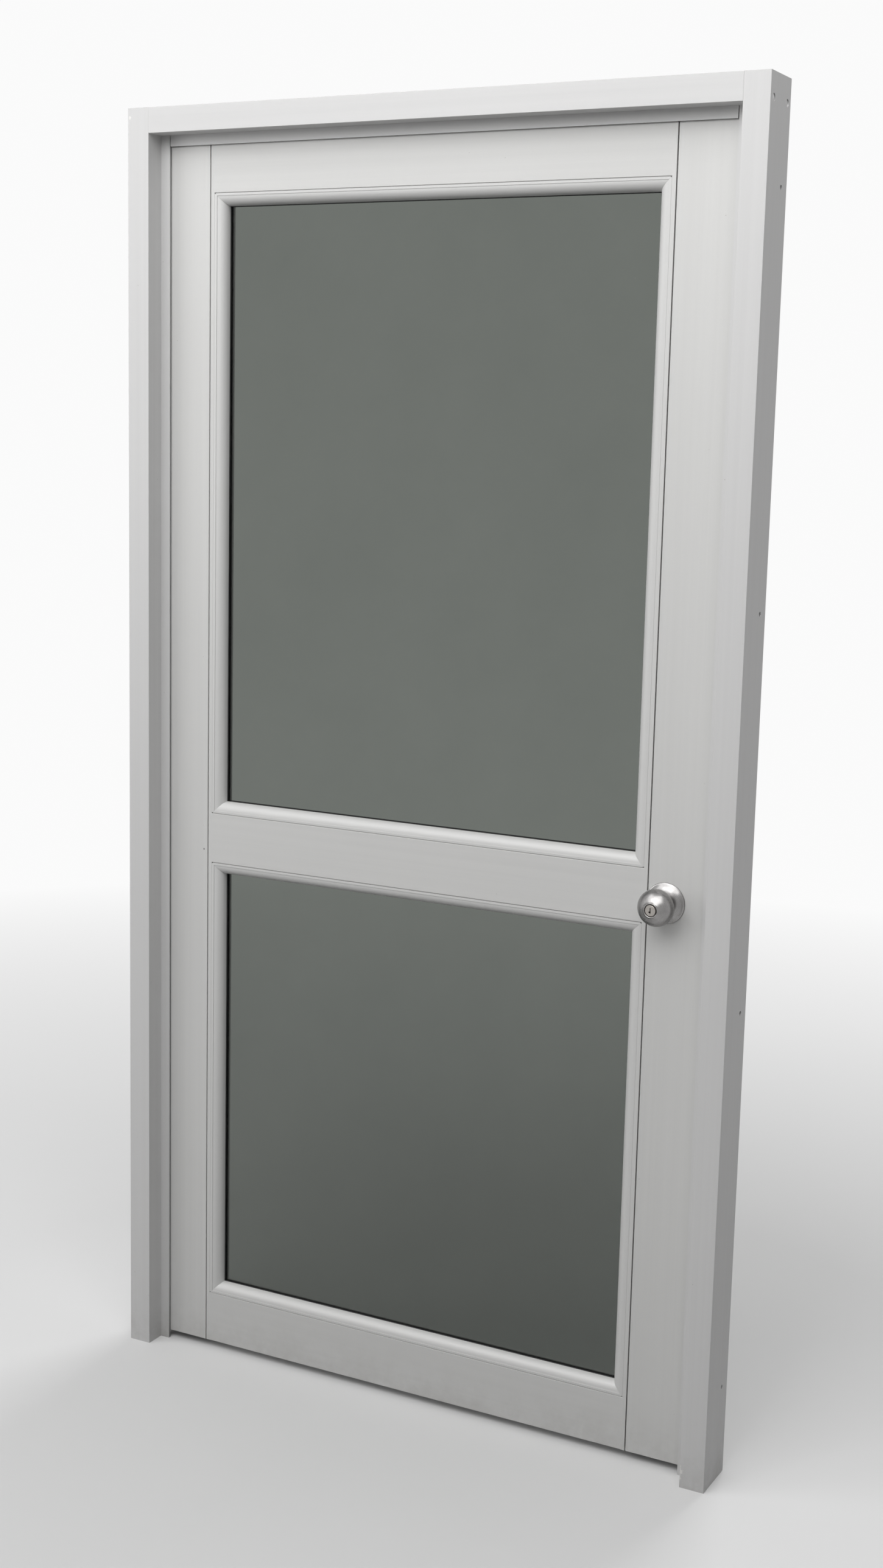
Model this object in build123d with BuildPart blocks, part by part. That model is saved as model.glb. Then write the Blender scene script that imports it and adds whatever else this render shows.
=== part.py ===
from build123d import *
import os

# A glazed aluminium swing door in its frame, in millimetres.
# X runs along the wall, Y through it from the keyed side to the room, Z up.
# The origin is on the floor, midway between the jambs and halfway through the leaf.

# Frame
frame_width = 1080
frame_height = 2100
frame_face = 40
frame_wall = 2
stop_setback = 35
stop_reach = 17
stop_thick = 2.4
seal_space = 2.6
seal_width = 5
soft_gap = 0.3
stop_notch_gap = 1.5
edge_radius = 0.6

# Leaf
leaf_thick = 45
leaf_wall = 2
hinge_gap = 5.5
lock_gap = 4.5
top_gap = 4
floor_gap = 14
hinge_stile_width = 86.5
lock_stile_width = 103
groove = 2
channel_face = 6.5
channel_foot_offset = 8
top_rail_height = 87
mid_rail_height = 84
bottom_rail_height = 88.5
mid_rail_centre = 916

# Glazing
bead_face = 20
bead_lip = 4.6
bead_step = 0.8
bead_wall = 1.5
bead_tip = 0.4
rail_groove = 1.0
stile_groove = 0.2
groove_depth = 2.2
notch_radius = 1.1
notch_inset = 1.0
notch_depth = 5
bead_leg = 17
bead_toe = 3.5
mitre_gap = 0.05
glass_thick = 6
glass_cover = 12
gasket_width = 4
gasket_proud = 0.5
block_length = 100
block_width = 8
pane_blocks = 2

# Screws and the holes they pass
screw_radius = 2
screw_clearance = 0.1
port_wall = 1.9
frame_screw_length = 32
rail_screw_length = 38
pan_head_radius = 4
pan_head_height = 2.6
cross_reach = 1.15
cross_width = 0.22
cross_depth = 0.36
port_inset = 14
port_rib = 1.8
access_radius = 5.5
fixing_hole_radius = 3.5
fixing_access_radius = 7
fixing_holes = 4
fixing_spacing = 600
fixing_first = 150

# Hinges
hinge_height = 100
hinge_plate = 2.5
hinge_plate_width = 34
barrel_radius = 6.2
barrel_standoff = 0.3
pin_radius = 3
pin_clearance = 0.05
pin_head_radius = 4.6
pin_head_height = 2
pin_head_round = 1.2
pin_end_chamfer = 0.75
knuckles = 5
knuckle_gap = 0.3
knuckle_relief = 0.4
hinge_bottom_rise = 236
hinge_top_drop = 180
hinge_corner = 5
hinge_screws = 4
hinge_screw_pitch = 24
hinge_screw_inset = 9
hinge_screw_stagger = 12
hinge_screw_length = 14
hinge_head_radius = 3.9

# Knob set
backset = 74.5
knob_level = 908.5
bore_radius = 27
rose_radius = 32
rose_height = 9
rose_rim = 1.6
rose_rim_height = 2.2
rose_rim_bulge = 0.5
rose_dome_bulge = 1.6
rose_wall = 1.2
rose_crown_radius = 18
mount_plate_thick = 2
mount_plate_radius = 28
rose_bolt_radius = 2.5
rose_bolt_pitch = 44
rose_bolt_head = 3.8
neck_radius = 15
neck_length = 12
neck_clearance = 0.5
knob_radius = 29
knob_equator = 38
knob_front = 61
knob_edge = 1.5
knob_shoulder = 0.78
knob_shoulder_radius = 0.9
knob_face = 1.22
knob_face_radius = 0.91
knob_face_bulge = 2
spindle_radius = 6
spindle_seat = 20
running_fit = 0.05
key_hole_radius = 9.5
key_plug_radius = 8.2
key_plug_length = 22
key_plug_chamfer = 0.4
key_ring_depth = 3
keyway_width = 1.3
keyway_height = 9
keyway_depth = 14
keyway_ward = 1.6
keyway_ward_height = 2.2
keyway_ward_drop = 2.2
button_radius = 6.5
button_round = 0.8
button_wing_length = 12.4
button_stem_radius = 4
button_stem = 12
button_base = 2
button_wing = 4
button_wing_height = 6

# Latch and strike
latch_case_radius = 11
latch_case_tail = 14
bolt_size = 12
bolt_reach = 10.5
bolt_length = 42
bolt_travel = 11.5
bolt_bevel = 10
bolt_nose = 1.5
bolt_bevel_bulge = 1
bolt_slide_gap = 0.1
face_plate_height = 57
face_plate_width = 25
face_plate_thick = 1.5
face_screw_pitch = 43
small_screw_radius = 1.7
small_head_radius = 3.2
small_screw_length = 10
strike_height = 70
strike_thick = 1.5
strike_front = 13
strike_lip_height = 36
strike_lip_radius = 3.5
strike_lip_sweep = 70
strike_screw_pitch = 54
strike_hole = 15
strike_hole_corner = 1
plate_corner = 3

# Planes and lines that the pieces share
leaf_front = -leaf_thick / 2
leaf_back = leaf_thick / 2
stop_back = leaf_front - seal_space
stop_front = stop_back - stop_thick
frame_front = stop_front - stop_setback
frame_back = leaf_back
frame_depth = frame_back - frame_front
frame_mid_y = (frame_front + frame_back) / 2
opening_half = frame_width / 2 - frame_face
head_bottom = frame_height - frame_face
stop_inner = opening_half - stop_reach
leaf_left = -opening_half + hinge_gap
leaf_right = opening_half - lock_gap
leaf_top = head_bottom - top_gap
leaf_height = leaf_top - floor_gap
hinge_stile_inner = leaf_left + hinge_stile_width
lock_stile_inner = leaf_right - lock_stile_width
rail_left = hinge_stile_inner + groove + channel_face
rail_right = lock_stile_inner - groove - channel_face
rail_length = rail_right - rail_left
rail_mid_x = (rail_left + rail_right) / 2
top_rail_bottom = leaf_top - top_rail_height
mid_rail_bottom = mid_rail_centre - mid_rail_height / 2
mid_rail_top = mid_rail_centre + mid_rail_height / 2
bottom_rail_top = floor_gap + bottom_rail_height
panes = {"upper": (mid_rail_top, top_rail_bottom), "lower": (bottom_rail_top, mid_rail_bottom)}
bead_radius = bead_face - bead_lip
bead_drop = bead_step + bead_radius
bead_depth = bead_drop + bead_tip
glass_front = -glass_thick / 2
glass_edge = bead_face - glass_cover
gasket_thick = glass_front - leaf_front - bead_depth
port_bore = screw_radius + screw_clearance
port_radius = port_bore + port_wall
knob_x = leaf_right - backset
hinge_low = floor_gap + hinge_bottom_rise
hinge_high = leaf_top - hinge_top_drop
hinge_levels = {"bottom": hinge_low, "middle": (hinge_low + hinge_high) / 2, "top": hinge_high}
pin_x = -opening_half + hinge_gap / 2
pin_y = leaf_back + barrel_standoff + barrel_radius
pocket = screw_radius + screw_clearance
fixing_y = (stop_back + frame_back) / 2
fixing_levels = [fixing_first + fixing_spacing * i for i in range(fixing_holes)]
head_port_z = head_bottom + frame_wall + port_radius - port_wall / 2
head_ports = [(y, head_port_z) for y in (frame_front + port_inset, frame_back - port_inset)]
rails = {
    "top_rail": (top_rail_bottom, leaf_top),
    "mid_rail": (mid_rail_bottom, mid_rail_top),
    "bottom_rail": (floor_gap, bottom_rail_top),
}
rail_ports = [z for low, high in rails.values() for z in (low + port_inset, high - port_inset)]
knob_line = Axis((knob_x, 0, knob_level), (0, 1, 0))

os.makedirs("parts", exist_ok=True)


def write(piece, name):
    """Labels a finished piece and writes it to its own file."""
    piece.part.label = name
    export_step(piece.part, f"parts/{name}.step")


def side_plane(x):
    """A plane across X whose sketch axes are the Y and Z of the door."""
    return Plane(origin=(x, 0, 0), x_dir=(0, 1, 0), z_dir=(1, 0, 0))


def face_plane(y):
    """A plane across Y whose sketch axes are the X and Z of the door."""
    return Plane(origin=(0, y, 0), x_dir=(1, 0, 0), z_dir=(0, -1, 0))


def tube_section(centre, across, deep, wall):
    """Draws a hollow rectangular section with softened outer corners."""
    with Locations(centre):
        RectangleRounded(across, deep, edge_radius)
        Rectangle(across - 2 * wall, deep - 2 * wall, mode=Mode.SUBTRACT)


def screw_ports(*centres):
    """Draws round screw ports joined to the section they stand in."""
    with Locations(*centres):
        Circle(port_radius)
    with Locations(*centres):
        Circle(port_bore, mode=Mode.SUBTRACT)


def holes(x, depth, radius, spots):
    """Cuts round holes along X through a wall, at places given as Y and Z."""
    along = (1 if depth > 0 else -1, 0, 0)
    with Locations(*[Plane(origin=(x, y, z), z_dir=along) for y, z in spots]):
        Cylinder(radius, abs(depth), align=(Align.CENTER, Align.CENTER, Align.MIN), mode=Mode.SUBTRACT)


def turned(origin, along, radius, length, mode=Mode.ADD):
    """Adds or cuts a cylinder that starts at a point and runs along a direction."""
    with Locations(Plane(origin=origin, z_dir=along)):
        Cylinder(radius, length, align=(Align.CENTER, Align.CENTER, Align.MIN), mode=mode)


def countersink(origin, along, wide, narrow, mode=Mode.ADD):
    """Adds or cuts a 45 degree cone that narrows along a direction."""
    with Locations(Plane(origin=origin, z_dir=along)):
        Cone(wide, narrow, wide - narrow, align=(Align.CENTER, Align.CENTER, Align.MIN), mode=mode)


def driver_cross(origin, along, size):
    """Cuts the crossed recess of a screw head."""
    with Locations(Plane(origin=origin, z_dir=along)):
        for turn in (0, 90):
            Box(
                size,
                size * cross_width,
                size * cross_depth,
                rotation=(0, 0, turn),
                align=(Align.CENTER, Align.CENTER, Align.MIN),
                mode=Mode.SUBTRACT,
            )


def pan_screw(seat, along, length, radius, head_radius, head_height):
    """A screw whose round head stands on the seat and whose shank runs along a direction."""
    back = tuple(-c for c in along)
    crown = tuple(s + b * head_height for s, b in zip(seat, back))
    turned(seat, along, radius, length)
    turned(seat, back, head_radius, head_height)
    driver_cross(crown, along, head_radius * cross_reach)


def flat_screw(face, along, length, radius, head_radius):
    """A countersunk screw whose head is level with the face."""
    turned(face, along, radius, length)
    countersink(face, along, head_radius, radius)
    driver_cross(face, along, head_radius * cross_reach)


def flat_screw_hole(face, along, depth, radius, head_radius):
    """The hole that a countersunk screw sits in, with its clearance."""
    turned(face, along, radius + screw_clearance, depth, mode=Mode.SUBTRACT)
    countersink(face, along, head_radius + screw_clearance, radius + screw_clearance, mode=Mode.SUBTRACT)


def hinge_spots(level):
    """The staggered screw places of one hinge plate, as Y and Z."""
    spots = []
    for i in range(hinge_screws):
        y = leaf_back - hinge_screw_inset - (i % 2) * hinge_screw_stagger
        z = level + (i - (hinge_screws - 1) / 2) * hinge_screw_pitch
        spots.append((y, z))
    return spots


hinge_holes = [spot for level in hinge_levels.values() for spot in hinge_spots(level)]
strike_screw_spots = [(0, knob_level - strike_screw_pitch / 2), (0, knob_level + strike_screw_pitch / 2)]
face_screw_spots = [(0, knob_level - face_screw_pitch / 2), (0, knob_level + face_screw_pitch / 2)]

# Jambs: full-height tubes whose thin fin is the stop that the leaf closes on.
# The wall fixings and the head screws go in through them from inside and outside.
for side, name in ((-1, "jamb_left"), (1, "jamb_right")):
    outer_face = side * frame_width / 2
    inner_face = side * opening_half
    with BuildPart() as jamb:
        with BuildSketch():
            tube_middle = (side * (opening_half + frame_face / 2), frame_mid_y)
            tube_section(tube_middle, frame_face, frame_depth, frame_wall)
        extrude(amount=frame_height)
        with BuildSketch():
            with Locations((side * (opening_half - stop_reach / 2), (stop_front + stop_back) / 2)):
                Rectangle(stop_reach, stop_thick)
        extrude(amount=head_bottom)
        wall_fixings = [(fixing_y, z) for z in fixing_levels]
        holes(outer_face, -side * frame_wall, fixing_hole_radius, wall_fixings)
        holes(inner_face, side * frame_wall, fixing_access_radius, wall_fixings)
        holes(outer_face, -side * frame_wall, access_radius, head_ports)
        holes(inner_face, side * frame_wall, pocket, head_ports)
        if side < 0:
            holes(inner_face, side * frame_wall, pocket, hinge_holes)
        else:
            holes(inner_face, side * frame_wall, small_screw_radius + screw_clearance, strike_screw_spots)
            with BuildSketch(side_plane(inner_face)):
                with Locations((0, knob_level)):
                    RectangleRounded(strike_hole, strike_hole, strike_hole_corner)
            extrude(amount=side * frame_wall, mode=Mode.SUBTRACT)
    write(jamb, name)

# Head: the same tube laid across, with its fin cut back where the jamb fins pass.
with BuildPart() as head:
    with BuildSketch(side_plane(-opening_half)):
        tube_section((frame_mid_y, head_bottom + frame_face / 2), frame_depth, frame_face, frame_wall)
        screw_ports(*head_ports)
    extrude(amount=2 * opening_half)
    with BuildSketch(side_plane(-stop_inner + stop_notch_gap)):
        with Locations(((stop_front + stop_back) / 2, head_bottom - stop_reach / 2)):
            Rectangle(stop_thick, stop_reach)
    extrude(amount=2 * (stop_inner - stop_notch_gap))
write(head, "head")

with BuildPart() as frame_screws:
    for side in (-1, 1):
        for y, z in head_ports:
            pan_screw(
                (side * (opening_half + frame_wall), y, z),
                (-side, 0, 0),
                frame_screw_length,
                screw_radius,
                pan_head_radius,
                pan_head_height,
            )
write(frame_screws, "frame_screws")

# Seals: soft strips behind the tips of the fins, just clear of the closed leaf.
for side, name in ((-1, "seal_left"), (1, "seal_right")):
    with BuildPart() as seal:
        with BuildSketch(face_plane(stop_back)):
            with Locations((side * (stop_inner + seal_width / 2), head_bottom / 2)):
                Rectangle(seal_width, head_bottom)
        extrude(amount=-(seal_space - soft_gap))
    write(seal, name)

with BuildPart() as seal_head:
    with BuildSketch(face_plane(stop_back)):
        with Locations((0, head_bottom - stop_reach + seal_width / 2)):
            Rectangle(2 * (stop_inner - stop_notch_gap), seal_width)
    extrude(amount=-(seal_space - soft_gap))
write(seal_head, "seal_head")

# Hinges: plates with interleaved knuckles around a headed pin.
knuckle = hinge_height / knuckles
plate_far = leaf_back - hinge_plate_width

for place, level in hinge_levels.items():
    foot = level - hinge_height / 2
    for owner, plate_x, into, turn in (
        ("frame", -opening_half, -1, 0),
        ("door", leaf_left - hinge_plate, 1, 1),
    ):
        with BuildPart() as plate:
            with BuildSketch(side_plane(plate_x)) as outline:
                with Locations(((plate_far + pin_y) / 2, level)):
                    Rectangle(pin_y - plate_far, hinge_height)
                fillet(outline.vertices().group_by(Axis.X)[0], hinge_corner)
            extrude(amount=hinge_plate)
            for k in range(knuckles):
                if k % 2 != turn:
                    start = (pin_x, pin_y, foot + k * knuckle - knuckle_gap / 2)
                    relief = barrel_radius + knuckle_relief
                    turned(start, (0, 0, 1), relief, knuckle + knuckle_gap, Mode.SUBTRACT)
            for k in range(knuckles):
                if k % 2 == turn:
                    start = (pin_x, pin_y, foot + k * knuckle + knuckle_gap / 2)
                    turned(start, (0, 0, 1), barrel_radius, knuckle - knuckle_gap)
            turned((pin_x, pin_y, foot), (0, 0, 1), pin_radius + pin_clearance, hinge_height, Mode.SUBTRACT)
            face_x = plate_x + (hinge_plate if into < 0 else 0)
            for y, z in hinge_spots(level):
                flat_screw_hole((face_x, y, z), (into, 0, 0), hinge_plate, screw_radius, hinge_head_radius)
        write(plate, f"hinge_{place}_{owner}_leaf")

    with BuildPart() as pin:
        turned((pin_x, pin_y, foot), (0, 0, 1), pin_radius, hinge_height)
        top = (pin_x, pin_y, foot + hinge_height)
        turned(top, (0, 0, 1), pin_head_radius, pin_head_height)
        fillet(pin.edges().group_by(Axis.Z)[-1], pin_head_round)
        chamfer(pin.edges().group_by(Axis.Z)[0], pin_end_chamfer)
    write(pin, f"hinge_{place}_pin")

for name, face_x, into in (
    ("hinge_frame_screws", -opening_half + hinge_plate, -1),
    ("hinge_door_screws", leaf_left - hinge_plate, 1),
):
    with BuildPart() as plate_screws:
        for y, z in hinge_holes:
            flat_screw((face_x, y, z), (into, 0, 0), hinge_screw_length, screw_radius, hinge_head_radius)
    write(plate_screws, name)

# Stiles: tubes at the edges of the leaf, drilled for rail screws, hinges and lock.
rail_screw_spots = [(0, z) for z in rail_ports]

with BuildPart() as hinge_stile:
    with BuildSketch(Plane.XY.offset(floor_gap)):
        tube_section((leaf_left + hinge_stile_width / 2, 0), hinge_stile_width, leaf_thick, leaf_wall)
    extrude(amount=leaf_height)
    holes(leaf_left, leaf_wall, access_radius, rail_screw_spots)
    holes(hinge_stile_inner, -leaf_wall, pocket, rail_screw_spots)
    holes(leaf_left, leaf_wall, pocket, hinge_holes)
write(hinge_stile, "hinge_stile")

with BuildPart() as lock_stile:
    with BuildSketch(Plane.XY.offset(floor_gap)):
        tube_section((leaf_right - lock_stile_width / 2, 0), lock_stile_width, leaf_thick, leaf_wall)
    extrude(amount=leaf_height)
    holes(leaf_right, -leaf_wall, access_radius, rail_screw_spots)
    holes(lock_stile_inner, leaf_wall, pocket, rail_screw_spots)
    holes(leaf_right, -leaf_wall, latch_case_radius + soft_gap, [(0, knob_level)])
    holes(leaf_right, -leaf_wall, small_screw_radius + screw_clearance, face_screw_spots)
    turned((knob_x, leaf_front, knob_level), (0, 1, 0), bore_radius, leaf_thick, Mode.SUBTRACT)
write(lock_stile, "lock_stile")

# Channels: the narrow bands between stile and pane. Two legs reach back across the
# open groove to the stile, and a web at full depth carries the rails and the panes.
for side, name, web_x, stile_x in (
    (1, "channel_left", rail_left, hinge_stile_inner),
    (-1, "channel_right", rail_right, lock_stile_inner),
):
    web_back = web_x - side * leaf_wall
    with BuildPart() as channel:
        with BuildSketch(Plane.XY.offset(floor_gap)):
            with Locations(((web_x + web_back) / 2, 0)):
                Rectangle(leaf_wall, leaf_thick)
            for face in (-1, 1):
                flange_y = face * (leaf_thick - leaf_wall) / 2
                leg_y = face * (leaf_thick / 2 - channel_foot_offset - leaf_wall / 2)
                with Locations((web_back - side * (channel_face - leaf_wall) / 2, flange_y)):
                    Rectangle(channel_face - leaf_wall, leaf_wall)
                with Locations(((web_back + stile_x) / 2, leg_y)):
                    Rectangle(abs(web_back - stile_x), leaf_wall)
        extrude(amount=leaf_height)
        holes(web_x, -side * leaf_wall, pocket, rail_screw_spots)
    write(channel, name)

# Rails: tubes between the channels, each with two screw ports on ribs.
for name, (low, high) in rails.items():
    with BuildPart() as rail:
        with BuildSketch(side_plane(rail_left)):
            tube_section((0, (low + high) / 2), leaf_thick, high - low, leaf_wall)
            for z, wall_z in ((low + port_inset, low + leaf_wall), (high - port_inset, high - leaf_wall)):
                with Locations((0, (z + wall_z) / 2)):
                    Rectangle(port_rib, abs(z - wall_z))
            screw_ports((0, low + port_inset), (0, high - port_inset))
        extrude(amount=rail_length)
    write(rail, name)

with BuildPart() as rail_screws:
    for seat_x, into in ((hinge_stile_inner - leaf_wall, 1), (lock_stile_inner + leaf_wall, -1)):
        for z in rail_ports:
            pan_screw(
                (seat_x, 0, z),
                (into, 0, 0),
                rail_screw_length,
                screw_radius,
                pan_head_radius,
                pan_head_height,
            )
write(rail_screws, "rail_screws")


# Glazing beads: a flat lip, a step and a convex quarter round, hollow behind,
# with a leg and a toe that snap in against the member. Ends are cut at 45 degrees,
# with a small notch at the outer corner of each mitre.
# In the section the first axis runs inward over the pane, the second into the leaf.
def bead(face, middle, inward, along, length, gap):
    """One mitred bead. face is -1 on the keyed side of the leaf and 1 on the room side."""
    origin = Vector(middle[0], face * leaf_thick / 2, middle[1])
    inward_dir = Vector(inward[0], 0, inward[1])
    along_dir = Vector(along[0], 0, along[1])
    depth_dir = Vector(0, -face, 0)
    inner_radius = bead_radius - bead_wall
    lip_under = bead_drop - inner_radius
    diagonal = 0.5**0.5
    with BuildPart() as piece:
        with BuildSketch(Plane(origin=origin, x_dir=inward_dir, z_dir=inward_dir.cross(depth_dir))):
            with BuildLine():
                Polyline((gap, 0), (bead_lip, 0), (bead_lip, bead_step))
                ThreePointArc(
                    (bead_lip, bead_step),
                    (bead_lip + bead_radius * diagonal, bead_drop - bead_radius * diagonal),
                    (bead_face, bead_drop),
                )
                Polyline(
                    (bead_face, bead_drop),
                    (bead_face, bead_depth),
                    (bead_face - bead_wall, bead_depth),
                    (bead_face - bead_wall, bead_drop),
                )
                ThreePointArc(
                    (bead_face - bead_wall, bead_drop),
                    (bead_lip + inner_radius * diagonal, bead_drop - inner_radius * diagonal),
                    (bead_lip, lip_under),
                )
                Polyline(
                    (bead_lip, lip_under),
                    (gap + bead_wall, lip_under),
                    (gap + bead_wall, groove_depth + bead_wall),
                    (bead_wall, groove_depth + bead_wall),
                    (bead_wall, bead_leg - bead_wall),
                    (bead_toe, bead_leg - bead_wall),
                    (bead_toe, bead_leg),
                    (0, bead_leg),
                    (0, groove_depth),
                    (gap, groove_depth),
                    (gap, 0),
                )
            make_face()
        extrude(amount=length / 2, both=True)
        for end in (-1, 1):
            keep_dir = (along_dir * -end - inward_dir).normalized()
            corner = origin + along_dir * (end * length / 2) + keep_dir * mitre_gap
            split(bisect_by=Plane(origin=corner, z_dir=keep_dir), keep=Keep.TOP)
        for end in (-1, 1):
            notch = origin + along_dir * (end * (length / 2 - notch_inset)) + inward_dir * notch_inset
            turned(notch, depth_dir, notch_radius, notch_depth, Mode.SUBTRACT)
    return piece


def pane_beads(face, low, high):
    """The four beads round one side of a pane, by the edge they lie on."""
    tall = high - low
    middle_z = (low + high) / 2
    return {
        "top": bead(face, (rail_mid_x, high), (0, -1), (1, 0), rail_length, rail_groove),
        "bottom": bead(face, (rail_mid_x, low), (0, 1), (1, 0), rail_length, rail_groove),
        "left": bead(face, (rail_left, middle_z), (1, 0), (0, 1), tall, stile_groove),
        "right": bead(face, (rail_right, middle_z), (-1, 0), (0, 1), tall, stile_groove),
    }


for pane_name, (low, high) in panes.items():
    for edge, piece in pane_beads(-1, low, high).items():
        write(piece, f"{pane_name}_bead_{edge}")

    with BuildPart() as back_beads:
        for piece in pane_beads(1, low, high).values():
            add(piece.part)
    write(back_beads, f"{pane_name}_back_beads")

    with BuildPart() as glass:
        with BuildSketch(face_plane(glass_front)):
            with Locations((rail_mid_x, (low + high) / 2)):
                Rectangle(rail_length - 2 * glass_edge, high - low - 2 * glass_edge)
        extrude(amount=-glass_thick)
    write(glass, f"{pane_name}_glass")

    gasket_edge = bead_face - gasket_width
    gasket_inner = bead_face + gasket_proud
    for side_name, face in (("front", -1), ("back", 1)):
        with BuildPart() as gasket:
            with BuildSketch(face_plane(face * glass_thick / 2)):
                with Locations((rail_mid_x, (low + high) / 2)):
                    Rectangle(rail_length - 2 * gasket_edge, high - low - 2 * gasket_edge)
                    Rectangle(
                        rail_length - 2 * gasket_inner,
                        high - low - 2 * gasket_inner,
                        mode=Mode.SUBTRACT,
                    )
            extrude(amount=-face * gasket_thick)
        write(gasket, f"{pane_name}_{side_name}_gasket")

with BuildPart() as setting_blocks:
    for low, high in panes.values():
        with BuildSketch(Plane.XY.offset(low)):
            with Locations((rail_mid_x, 0)):
                with GridLocations(rail_length / 2, 0, pane_blocks, 1):
                    Rectangle(block_length, block_width)
        extrude(amount=glass_edge)
write(setting_blocks, "setting_blocks")


# Knob set: the same rose, plate and turned knob on both faces of the leaf.
def knob_plane(out):
    """Sketch plane for turned pieces: first axis out from the leaf, second axis the radius."""
    return Plane(origin=(knob_x, out * leaf_thick / 2, knob_level), x_dir=(0, out, 0), z_dir=(out, 0, 0))


neck_start = mount_plate_thick + soft_gap
plug_floor = knob_front - key_plug_length - soft_gap
rose_bore = neck_radius + neck_clearance
rim_crest = (rose_rim_height, rose_radius - rose_rim)
shoulder = (knob_equator * knob_shoulder, knob_radius * knob_shoulder_radius)
face_turn = (knob_equator * knob_face, knob_radius * knob_face_radius)
face_rim = (knob_front - knob_edge / 2, key_hole_radius + knob_edge)
face_floor = knob_front - knob_edge

for out, side_name in ((-1, "outer"), (1, "inner")):
    surface_y = out * leaf_thick / 2

    with BuildPart() as rose:
        with BuildSketch(knob_plane(out)):
            with BuildLine():
                Line((0, rose_radius), (rose_rim / 2, rose_radius))
                SagittaArc((rose_rim / 2, rose_radius), rim_crest, rose_rim_bulge)
                SagittaArc(rim_crest, (rose_height, rose_crown_radius), rose_dome_bulge)
                Polyline(
                    (rose_height, rose_crown_radius),
                    (rose_height, rose_bore),
                    (rose_height - rose_wall, rose_bore),
                    (rose_height - rose_wall, rose_crown_radius - rose_wall / 2),
                )
                SagittaArc(
                    (rose_height - rose_wall, rose_crown_radius - rose_wall / 2),
                    (rose_rim_height, rim_crest[1] - rose_wall),
                    rose_wall / 2 - rose_dome_bulge,
                )
                Polyline(
                    (rose_rim_height, rim_crest[1] - rose_wall),
                    (0, rim_crest[1] - rose_wall / 2),
                    (0, rose_radius),
                )
            make_face()
        revolve(axis=knob_line)
    write(rose, f"{side_name}_rose")

    with BuildPart() as mount_plate:
        turned((knob_x, surface_y, knob_level), (0, out, 0), mount_plate_radius, mount_plate_thick)
        turned(
            (knob_x, surface_y, knob_level),
            (0, out, 0),
            spindle_radius + neck_clearance,
            mount_plate_thick,
            Mode.SUBTRACT,
        )
        for z in (knob_level - rose_bolt_pitch / 2, knob_level + rose_bolt_pitch / 2):
            hole_radius = rose_bolt_radius + screw_clearance
            turned((knob_x, surface_y, z), (0, out, 0), hole_radius, mount_plate_thick, Mode.SUBTRACT)
    write(mount_plate, f"{side_name}_mount_plate")

    with BuildPart() as knob:
        with BuildSketch(knob_plane(out)):
            with BuildLine():
                Polyline((neck_start, 0), (neck_start, neck_radius), (neck_length, neck_radius))
                Line((neck_length, neck_radius), shoulder)
                ThreePointArc(shoulder, (knob_equator, knob_radius), face_turn)
                SagittaArc(face_turn, face_rim, knob_face_bulge)
                Polyline(face_rim, (face_floor, key_hole_radius), (face_floor, 0), (neck_start, 0))
            make_face()
        revolve(axis=knob_line)
        seat = (knob_x, surface_y + out * neck_start, knob_level)
        turned(seat, (0, out, 0), spindle_radius + running_fit, spindle_seat, Mode.SUBTRACT)
        front = (knob_x, surface_y + out * face_floor, knob_level)
        if out < 0:
            plug_depth = face_floor - plug_floor
            turned(front, (0, -out, 0), key_plug_radius + running_fit, plug_depth, Mode.SUBTRACT)
            turned(front, (0, -out, 0), key_hole_radius, key_ring_depth, Mode.SUBTRACT)
        else:
            stem_bore = button_stem_radius + running_fit
            turned(front, (0, -out, 0), stem_bore, button_stem + soft_gap, Mode.SUBTRACT)
    write(knob, f"{side_name}_knob")

with BuildPart() as spindle:
    spindle_half = leaf_thick / 2 + neck_start + spindle_seat
    turned((knob_x, -spindle_half, knob_level), (0, 1, 0), spindle_radius, 2 * spindle_half)
write(spindle, "spindle")

with BuildPart() as rose_bolts:
    for z in (knob_level - rose_bolt_pitch / 2, knob_level + rose_bolt_pitch / 2):
        pan_screw(
            (knob_x, leaf_back + mount_plate_thick, z),
            (0, -1, 0),
            leaf_thick + 2 * mount_plate_thick,
            rose_bolt_radius,
            rose_bolt_head,
            mount_plate_thick,
        )
write(rose_bolts, "rose_bolts")

# Key plug: a round core with a stepped keyway cut from its front.
with BuildPart() as key_plug:
    plug_front_y = leaf_front - knob_front
    turned((knob_x, plug_front_y, knob_level), (0, 1, 0), key_plug_radius, key_plug_length)
    chamfer(key_plug.edges().group_by(Axis.Y)[0], key_plug_chamfer)
    with BuildSketch(face_plane(plug_front_y)):
        with Locations((knob_x, knob_level)):
            Rectangle(keyway_width, keyway_height)
        with Locations((knob_x - keyway_width / 2, knob_level - keyway_ward_drop)):
            Rectangle(keyway_ward * 2, keyway_ward_height)
    extrude(amount=-keyway_depth, mode=Mode.SUBTRACT)
write(key_plug, "key_plug")

# Turn button: a small wing on a disc, with a stem in the inner knob.
with BuildPart() as turn_button:
    disc_y = leaf_back + face_floor + soft_gap
    stem_start = (knob_x, disc_y - soft_gap - button_stem, knob_level)
    turned(stem_start, (0, 1, 0), button_stem_radius, button_stem + button_base / 2)
    turned((knob_x, disc_y, knob_level), (0, 1, 0), button_radius, button_base)
    with BuildSketch(face_plane(disc_y + button_base)):
        with Locations((knob_x, knob_level)):
            SlotOverall(button_wing_length, button_wing, rotation=90)
    extrude(amount=-button_wing_height)
    fillet(turn_button.edges().group_by(Axis.Y)[-1], button_round)
write(turn_button, "turn_button")

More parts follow.
